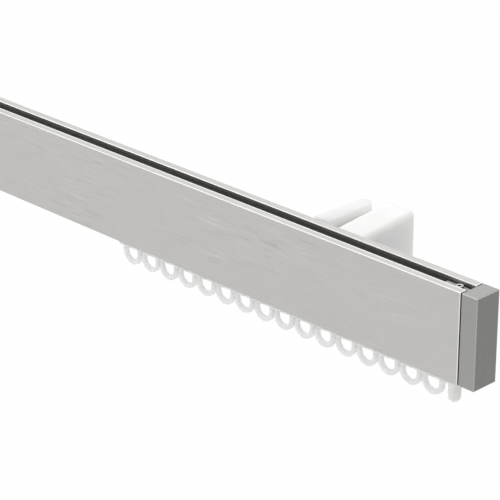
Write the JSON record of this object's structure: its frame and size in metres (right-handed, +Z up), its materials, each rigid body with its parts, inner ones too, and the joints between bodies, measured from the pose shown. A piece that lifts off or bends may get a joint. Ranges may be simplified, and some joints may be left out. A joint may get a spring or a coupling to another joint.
{
  "type": "curtain track",
  "caption": "Flat rectangular aluminium curtain track for a wall, with inner glider channel, eye gliders, end stops, end caps and clip brackets.",
  "frame": {"origin": "centre of the four wall screws, on the wall plane, mid-length and mid-height of the profile", "axes": "+X along the track to the end where the gliders are bunched, +Y to the wall, +Z up"},
  "size_m": [0.6152, 0.042, 0.0479],
  "materials": {
    "brushed_aluminium": "brushed, clear anodised",
    "satin_cap": "satin",
    "white_plastic": "satin",
    "steel": "bright zinc"
  },
  "bodies": {
    "track": {"track_profile": "brushed_aluminium", "end_cap_left": "satin_cap", "end_cap_right": "satin_cap", "cap_screws": "steel", "end_stop_left": "white_plastic", "end_stop_right": "white_plastic", "stop_screws": "steel", "bracket_body_left": "white_plastic", "bracket_body_right": "white_plastic", "lever_pin_left": "steel", "lever_pin_right": "steel"},
    "glider_01": {"glider_01": "white_plastic"},
    "glider_02": {"glider_02": "white_plastic"},
    "glider_03": {"glider_03": "white_plastic"},
    "glider_04": {"glider_04": "white_plastic"},
    "glider_05": {"glider_05": "white_plastic"},
    "glider_06": {"glider_06": "white_plastic"},
    "glider_07": {"glider_07": "white_plastic"},
    "glider_08": {"glider_08": "white_plastic"},
    "glider_09": {"glider_09": "white_plastic"},
    "glider_10": {"glider_10": "white_plastic"},
    "glider_11": {"glider_11": "white_plastic"},
    "glider_12": {"glider_12": "white_plastic"},
    "glider_13": {"glider_13": "white_plastic"},
    "glider_14": {"glider_14": "white_plastic"},
    "glider_15": {"glider_15": "white_plastic"},
    "glider_16": {"glider_16": "white_plastic"},
    "release_lever_left": {"release_lever_left": "white_plastic"},
    "release_lever_right": {"release_lever_right": "white_plastic"}
  },
  "joints": [
    {"name": "glider_01_slide", "type": "slide", "parent": "track", "child": "glider_01", "axis": [-1, 0, 0], "range_m": [0, 0.025]},
    {"name": "glider_02_slide", "type": "slide", "parent": "glider_01", "child": "glider_02", "axis": [-1, 0, 0], "range_m": [0, 0.025]},
    {"name": "glider_03_slide", "type": "slide", "parent": "glider_02", "child": "glider_03", "axis": [-1, 0, 0], "range_m": [0, 0.025]},
    {"name": "glider_04_slide", "type": "slide", "parent": "glider_03", "child": "glider_04", "axis": [-1, 0, 0], "range_m": [0, 0.025]},
    {"name": "glider_05_slide", "type": "slide", "parent": "glider_04", "child": "glider_05", "axis": [-1, 0, 0], "range_m": [0, 0.025]},
    {"name": "glider_06_slide", "type": "slide", "parent": "glider_05", "child": "glider_06", "axis": [-1, 0, 0], "range_m": [0, 0.025]},
    {"name": "glider_07_slide", "type": "slide", "parent": "glider_06", "child": "glider_07", "axis": [-1, 0, 0], "range_m": [0, 0.025]},
    {"name": "glider_08_slide", "type": "slide", "parent": "glider_07", "child": "glider_08", "axis": [-1, 0, 0], "range_m": [0, 0.025]},
    {"name": "glider_09_slide", "type": "slide", "parent": "glider_08", "child": "glider_09", "axis": [-1, 0, 0], "range_m": [0, 0.025]},
    {"name": "glider_10_slide", "type": "slide", "parent": "glider_09", "child": "glider_10", "axis": [-1, 0, 0], "range_m": [0, 0.025]},
    {"name": "glider_11_slide", "type": "slide", "parent": "glider_10", "child": "glider_11", "axis": [-1, 0, 0], "range_m": [0, 0.025]},
    {"name": "glider_12_slide", "type": "slide", "parent": "glider_11", "child": "glider_12", "axis": [-1, 0, 0], "range_m": [0, 0.025]},
    {"name": "glider_13_slide", "type": "slide", "parent": "glider_12", "child": "glider_13", "axis": [-1, 0, 0], "range_m": [0, 0.025]},
    {"name": "glider_14_slide", "type": "slide", "parent": "glider_13", "child": "glider_14", "axis": [-1, 0, 0], "range_m": [0, 0.025]},
    {"name": "glider_15_slide", "type": "slide", "parent": "glider_14", "child": "glider_15", "axis": [-1, 0, 0], "range_m": [0, 0.025]},
    {"name": "glider_16_slide", "type": "slide", "parent": "glider_15", "child": "glider_16", "axis": [-1, 0, 0], "range_m": [0, 0.025]},
    {"name": "release_lever_left_rock", "type": "hinge", "parent": "track", "child": "release_lever_left", "pos_m": [-0.24795, -0.012, 0.002], "axis": [-1, 0, 0], "range_deg": [0, 7]},
    {"name": "release_lever_right_rock", "type": "hinge", "parent": "track", "child": "release_lever_right", "pos_m": [0.22045, -0.012, 0.002], "axis": [-1, 0, 0], "range_deg": [0, 7]}
  ]
}
